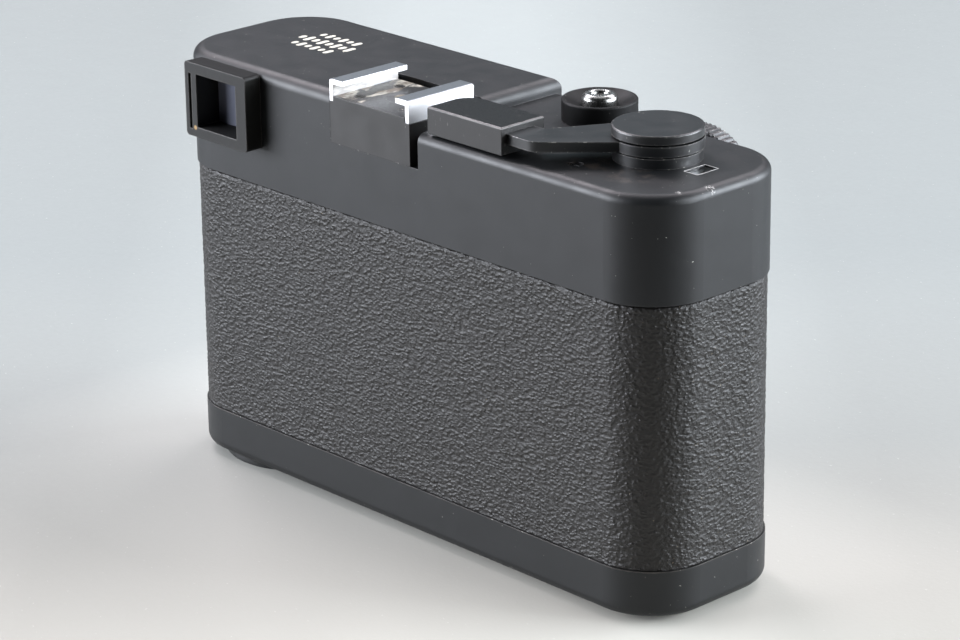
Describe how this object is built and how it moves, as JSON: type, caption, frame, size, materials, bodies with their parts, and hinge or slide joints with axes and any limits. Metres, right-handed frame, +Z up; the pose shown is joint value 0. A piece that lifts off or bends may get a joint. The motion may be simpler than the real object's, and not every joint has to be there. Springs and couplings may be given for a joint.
{
  "type": "rangefinder camera",
  "caption": "Compact film camera body with rangefinder finder, accessory shoe, thumb advance lever, front speed dial and a drop-off back with base rewind; no lens fitted.",
  "frame": {"origin": "mouth of the tripod socket, in the plane that the camera rests on", "axes": "+X to the eyepiece end, along the camera's width; +Y to the back; +Z up"},
  "size_m": [0.1244, 0.0438, 0.0798],
  "materials": {
    "black_paint": "satin black enamel, worn to brass along edges",
    "black_lever": "satin black finish with worn edges",
    "black_inner": "matt black",
    "leatherette": "pebbled black grain",
    "tip_plastic": "satin black moulding",
    "dial_black": "satin black with white numbers",
    "chrome": "bright chrome plate",
    "cast_alloy": "die cast, blackened in the light path",
    "steel": "bright",
    "brass": "turned",
    "blind_cloth": "rubberised cloth",
    "black_plastic": "moulded",
    "clear_glass": "coated",
    "frosted_glass": "ground face",
    "silvered": "surface silvered",
    "counter_white": "printed scale"
  },
  "bodies": {
    "camera": {"chassis": "cast_alloy", "front_plate": "black_inner", "front_leatherette": "leatherette", "top_cover": "black_paint", "eyepiece_frame": "black_paint", "eyepiece_lens": "clear_glass", "finder_window": "clear_glass", "frameline_window": "frosted_glass", "rangefinder_window": "clear_glass", "finder_bracket": "cast_alloy", "finder_block": "clear_glass", "accessory_shoe": "chrome", "shoe_block": "black_paint", "shoe_insulator": "black_plastic", "shoe_contact": "brass", "shoe_screws": "chrome", "lens_mount": "chrome", "lens_mount_screws": "chrome", "shutter_curtain_front": "blind_cloth", "shutter_curtain_rear": "blind_cloth", "battery": "steel", "battery_cap": "brass", "lever_collar": "black_lever", "counter_window": "clear_glass", "deck_screw": "black_lever", "release_collar": "black_lever", "shutter_spring": "steel", "strap_lug_upper": "chrome"},
    "advance_lever": {"lever_shaft": "steel", "lever_arm": "black_lever", "lever_tip": "tip_plastic", "lever_cap": "black_lever"},
    "frame_counter": {"counter_disc": "counter_white"},
    "take_up_spool": {"take_up_spool": "black_plastic"},
    "film_sprocket": {"film_sprocket": "black_plastic"},
    "lower_blind_roller": {"shutter_roller_lower": "steel"},
    "upper_blind_roller": {"shutter_roller_upper": "steel"},
    "shutter_button": {"shutter_button": "chrome"},
    "speed_dial": {"speed_dial": "dial_black"},
    "film_speed_disc": {"film_speed_disc": "dial_black"},
    "lens_release": {"lens_release_button": "chrome"},
    "rangefinder_arm": {"rangefinder_arm": "brass", "rangefinder_mirror": "silvered"},
    "feeler_roller": {"rangefinder_roller": "brass"},
    "meter_arm": {"meter_arm": "black_inner", "meter_cell": "frosted_glass"},
    "back": {"back_cover": "black_inner", "back_leatherette": "leatherette", "base_plate": "black_paint", "tripod_socket": "chrome", "pressure_springs": "steel", "strap_lug_lower": "chrome"},
    "pressure_plate": {"pressure_plate": "black_inner"},
    "rewind_disc": {"rewind_disc": "black_lever", "rewind_fork": "steel"},
    "rewind_crank": {"rewind_crank": "black_lever", "rewind_knob": "chrome"},
    "rewind_release": {"rewind_release_button": "steel"},
    "back_lock": {"back_lock_key": "black_lever"},
    "back_lock_wing": {"back_lock_wing": "black_lever"}
  },
  "joints": [
    {"name": "advance_lever_swing", "type": "hinge", "parent": "camera", "child": "advance_lever", "pos_m": [-0.0429, -0.002, 0.077], "axis": [0, 0, 1], "range_deg": [0, 140], "stiffness_Nm_per_rad": 0.005, "springref_deg": -20.05},
    {"name": "frame_counter_turn", "type": "hinge", "parent": "camera", "child": "frame_counter", "pos_m": [-0.0429, -0.002, 0.0718], "axis": [0, 0, 1], "range_deg": [0, 10]},
    {"name": "take_up_spool_turn", "type": "hinge", "parent": "camera", "child": "take_up_spool", "pos_m": [-0.0429, -0.002, 0.035], "axis": [0, 0, 1], "range_deg": [0, 305]},
    {"name": "film_sprocket_turn", "type": "hinge", "parent": "camera", "child": "film_sprocket", "pos_m": [-0.0245, 0.00315, 0.034], "axis": [0, 0, 1], "range_deg": [0, 361]},
    {"name": "lower_blind_roller_turn", "type": "hinge", "parent": "camera", "child": "lower_blind_roller", "pos_m": [0.005, 0.005, 0.0165], "axis": [1, 0, 0], "range_deg": [0, 830]},
    {"name": "upper_blind_roller_turn", "type": "hinge", "parent": "camera", "child": "upper_blind_roller", "pos_m": [0.005, 0.005, 0.0515], "axis": [1, 0, 0], "range_deg": [0, 830]},
    {"name": "shutter_button_press", "type": "slide", "parent": "camera", "child": "shutter_button", "axis": [0, 0, -1], "range_m": [0, 0.002], "stiffness_N_per_m": 600, "springref_m": -0.002, "deforming": ["shutter_spring"]},
    {"name": "speed_dial_turn", "type": "hinge", "parent": "camera", "child": "speed_dial", "pos_m": [-0.037, -0.0195, 0.0626], "axis": [0, -1, 0], "range_deg": [-150, 150]},
    {"name": "film_speed_disc_turn", "type": "hinge", "parent": "speed_dial", "child": "film_speed_disc", "pos_m": [-0.037, -0.0225, 0.0626], "axis": [0, -1, 0], "range_deg": [-120, 120]},
    {"name": "lens_release_press", "type": "slide", "parent": "camera", "child": "lens_release", "axis": [0, 1, 0], "range_m": [0, 0.0014], "stiffness_N_per_m": 800, "springref_m": -0.001},
    {"name": "rangefinder_arm_swing", "type": "hinge", "parent": "camera", "child": "rangefinder_arm", "pos_m": [0.027, -0.0095, 0.0594], "axis": [0, 0, 1], "range_deg": [-6, 0], "stiffness_Nm_per_rad": 0.01, "springref_deg": 5.73},
    {"name": "feeler_roller_spin", "type": "hinge", "parent": "rangefinder_arm", "child": "feeler_roller", "pos_m": [0.005, -0.0095, 0.05275], "axis": [0, 0, 1], "continuous": true},
    {"name": "meter_arm_swing", "type": "hinge", "parent": "camera", "child": "meter_arm", "pos_m": [-0.00619, -0.002, 0.01803], "axis": [0, 1, 0], "range_deg": [0, 56]},
    {"name": "back_pull_off", "type": "slide", "parent": "camera", "child": "back", "axis": [0, 0, -1], "range_m": [0, 0.08]},
    {"name": "pressure_plate_give", "type": "slide", "parent": "back", "child": "pressure_plate", "axis": [0, 1, 0], "range_m": [0, 0.001], "stiffness_N_per_m": 1000, "springref_m": -0.001},
    {"name": "rewind_disc_spin", "type": "hinge", "parent": "back", "child": "rewind_disc", "pos_m": [0.0445, 0.0019, 0.002], "axis": [0, 0, 1], "continuous": true},
    {"name": "rewind_crank_fold", "type": "hinge", "parent": "rewind_disc", "child": "rewind_crank", "pos_m": [0.0345, 0.0019, 0.0012], "axis": [0, 1, 0], "range_deg": [0, 150]},
    {"name": "rewind_release_press", "type": "slide", "parent": "back", "child": "rewind_release", "axis": [0, 0, 1], "range_m": [0, 0.0012], "stiffness_N_per_m": 400, "springref_m": -0.001},
    {"name": "back_lock_turn", "type": "hinge", "parent": "back", "child": "back_lock", "pos_m": [-0.0465, 0, 0.003], "axis": [0, 0, 1], "range_deg": [0, 180]},
    {"name": "back_lock_wing_fold", "type": "hinge", "parent": "back_lock", "child": "back_lock_wing", "pos_m": [-0.0465, 0, 0.0012], "axis": [-1, 0, 0], "range_deg": [0, 90]}
  ],
  "couplings": [
    {"joint": "frame_counter_turn", "follows": "advance_lever_swing", "ratio": 0.064286},
    {"joint": "take_up_spool_turn", "follows": "advance_lever_swing", "ratio": 2.16},
    {"joint": "film_sprocket_turn", "follows": "advance_lever_swing", "ratio": 2.5714},
    {"joint": "lower_blind_roller_turn", "follows": "advance_lever_swing", "ratio": 5.9},
    {"joint": "upper_blind_roller_turn", "follows": "advance_lever_swing", "ratio": 5.9}
  ]
}
